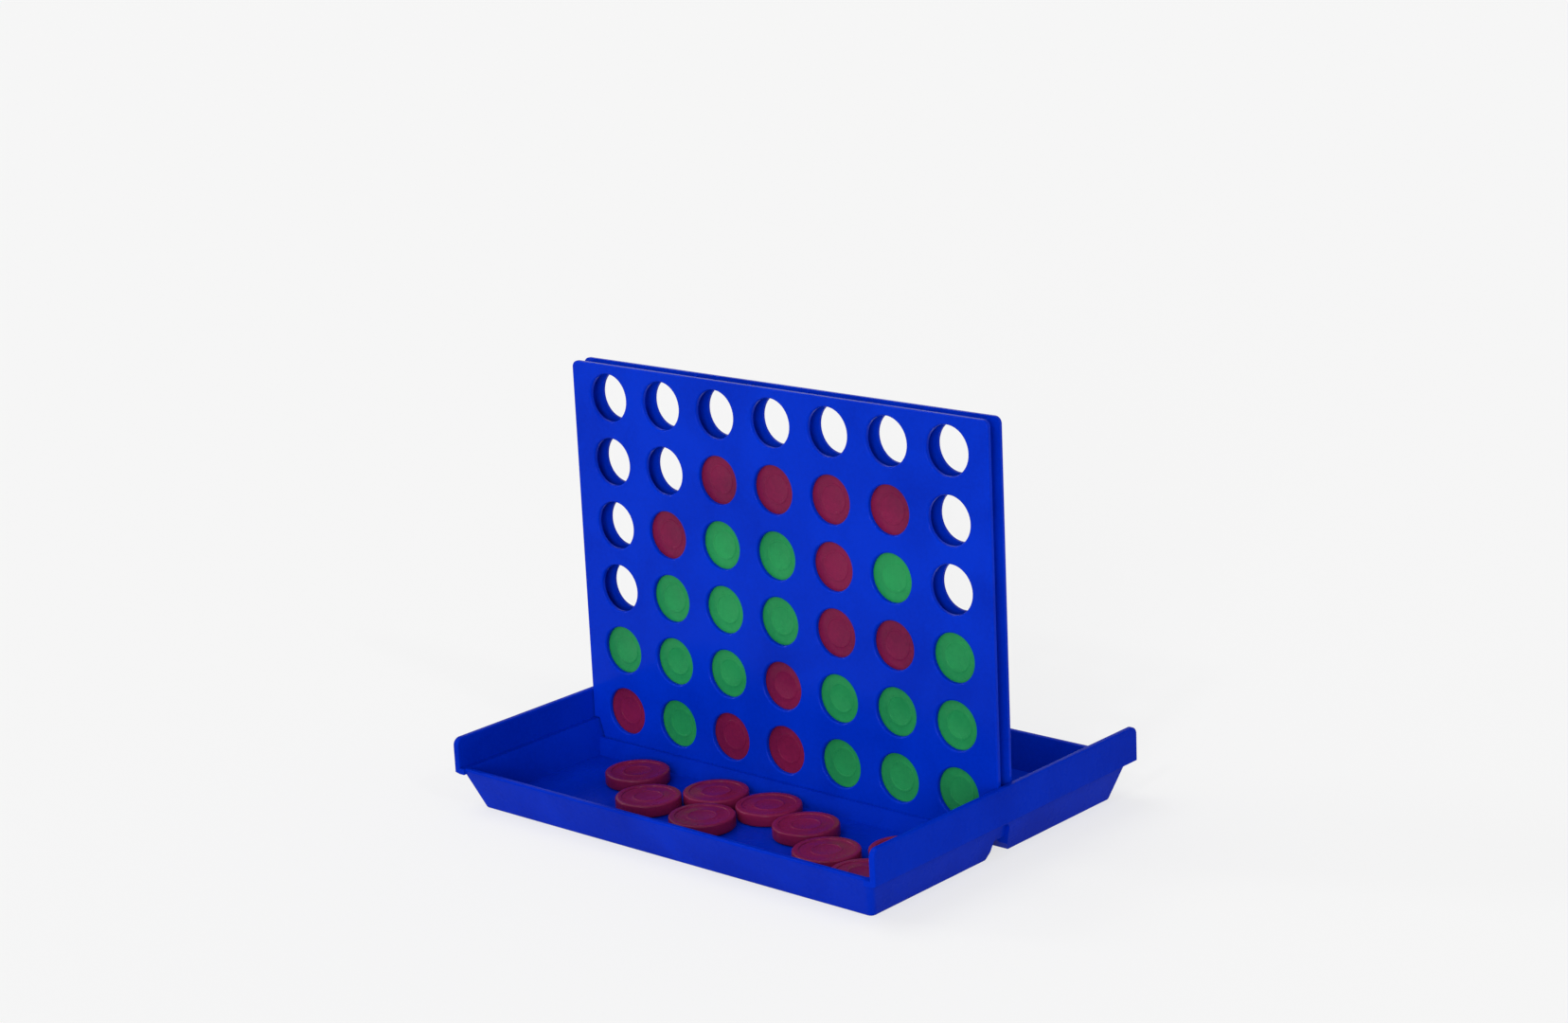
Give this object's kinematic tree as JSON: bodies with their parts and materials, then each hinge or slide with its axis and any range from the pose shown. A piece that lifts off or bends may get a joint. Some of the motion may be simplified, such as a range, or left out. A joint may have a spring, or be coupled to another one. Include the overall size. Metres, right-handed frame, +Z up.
{
  "type": "four in a row frame",
  "caption": "Pocket four in a row game: upright blue grid of round windows in a shallow divided tray, with red and green tokens.",
  "frame": {"origin": "middle of the tray's underside", "axes": "+X along the grid, +Y through the grid to the back compartment, +Z up"},
  "size_m": [0.123, 0.0918, 0.0959],
  "materials": {
    "tray_plastic": "gloss moulded polystyrene, deep blue",
    "grid_plastic": "gloss moulded polystyrene, deep blue",
    "red_token_plastic": "gloss moulded polystyrene, crimson red",
    "green_token_plastic": "gloss moulded polystyrene, green"
  },
  "bodies": {
    "tray": {"base_tray": "tray_plastic"},
    "grid": {"front_panel": "grid_plastic", "back_panel": "grid_plastic", "column_dividers": "grid_plastic"},
    "column_1_tokens": {"red_token_column_1_row_1": "red_token_plastic", "green_token_column_1_row_2": "green_token_plastic"},
    "column_2_tokens": {"green_token_column_2_row_1": "green_token_plastic", "green_token_column_2_row_2": "green_token_plastic", "green_token_column_2_row_3": "green_token_plastic", "red_token_column_2_row_4": "red_token_plastic"},
    "column_3_tokens": {"red_token_column_3_row_1": "red_token_plastic", "green_token_column_3_row_2": "green_token_plastic", "green_token_column_3_row_3": "green_token_plastic", "green_token_column_3_row_4": "green_token_plastic", "red_token_column_3_row_5": "red_token_plastic"},
    "column_4_tokens": {"red_token_column_4_row_1": "red_token_plastic", "red_token_column_4_row_2": "red_token_plastic", "green_token_column_4_row_3": "green_token_plastic", "green_token_column_4_row_4": "green_token_plastic", "red_token_column_4_row_5": "red_token_plastic"},
    "column_5_tokens": {"green_token_column_5_row_1": "green_token_plastic", "green_token_column_5_row_2": "green_token_plastic", "red_token_column_5_row_3": "red_token_plastic", "red_token_column_5_row_4": "red_token_plastic", "red_token_column_5_row_5": "red_token_plastic"},
    "column_6_tokens": {"green_token_column_6_row_1": "green_token_plastic", "green_token_column_6_row_2": "green_token_plastic", "red_token_column_6_row_3": "red_token_plastic", "green_token_column_6_row_4": "green_token_plastic", "red_token_column_6_row_5": "red_token_plastic"},
    "column_7_tokens": {"green_token_column_7_row_1": "green_token_plastic", "green_token_column_7_row_2": "green_token_plastic", "green_token_column_7_row_3": "green_token_plastic"},
    "front_tray_tokens": {"red_token_tray_1": "red_token_plastic", "red_token_tray_2": "red_token_plastic", "red_token_tray_3": "red_token_plastic", "red_token_tray_4": "red_token_plastic", "red_token_tray_5": "red_token_plastic", "red_token_tray_6": "red_token_plastic", "red_token_tray_7": "red_token_plastic", "red_token_tray_8": "red_token_plastic", "red_token_tray_9": "red_token_plastic"},
    "back_tray_tokens": {"green_token_tray_1": "green_token_plastic", "green_token_tray_2": "green_token_plastic", "green_token_tray_3": "green_token_plastic", "green_token_tray_4": "green_token_plastic"}
  },
  "joints": [
    {"name": "grid_lift", "type": "slide", "parent": "tray", "child": "grid", "axis": [0, 0, 1], "range_m": [0, 0.09]},
    {"name": "column_1_slide", "type": "slide", "parent": "tray", "child": "column_1_tokens", "axis": [0, 0, 1], "range_m": [0, 0.091]},
    {"name": "column_2_slide", "type": "slide", "parent": "tray", "child": "column_2_tokens", "axis": [0, 0, 1], "range_m": [0, 0.091]},
    {"name": "column_3_slide", "type": "slide", "parent": "tray", "child": "column_3_tokens", "axis": [0, 0, 1], "range_m": [0, 0.091]},
    {"name": "column_4_slide", "type": "slide", "parent": "tray", "child": "column_4_tokens", "axis": [0, 0, 1], "range_m": [0, 0.091]},
    {"name": "column_5_slide", "type": "slide", "parent": "tray", "child": "column_5_tokens", "axis": [0, 0, 1], "range_m": [0, 0.091]},
    {"name": "column_6_slide", "type": "slide", "parent": "tray", "child": "column_6_tokens", "axis": [0, 0, 1], "range_m": [0, 0.091]},
    {"name": "column_7_slide", "type": "slide", "parent": "tray", "child": "column_7_tokens", "axis": [0, 0, 1], "range_m": [0, 0.091]},
    {"name": "front_tray_tokens_lift", "type": "slide", "parent": "tray", "child": "front_tray_tokens", "axis": [0, 0, 1], "range_m": [0, 0.03]},
    {"name": "back_tray_tokens_lift", "type": "slide", "parent": "tray", "child": "back_tray_tokens", "axis": [0, 0, 1], "range_m": [0, 0.03]}
  ]
}
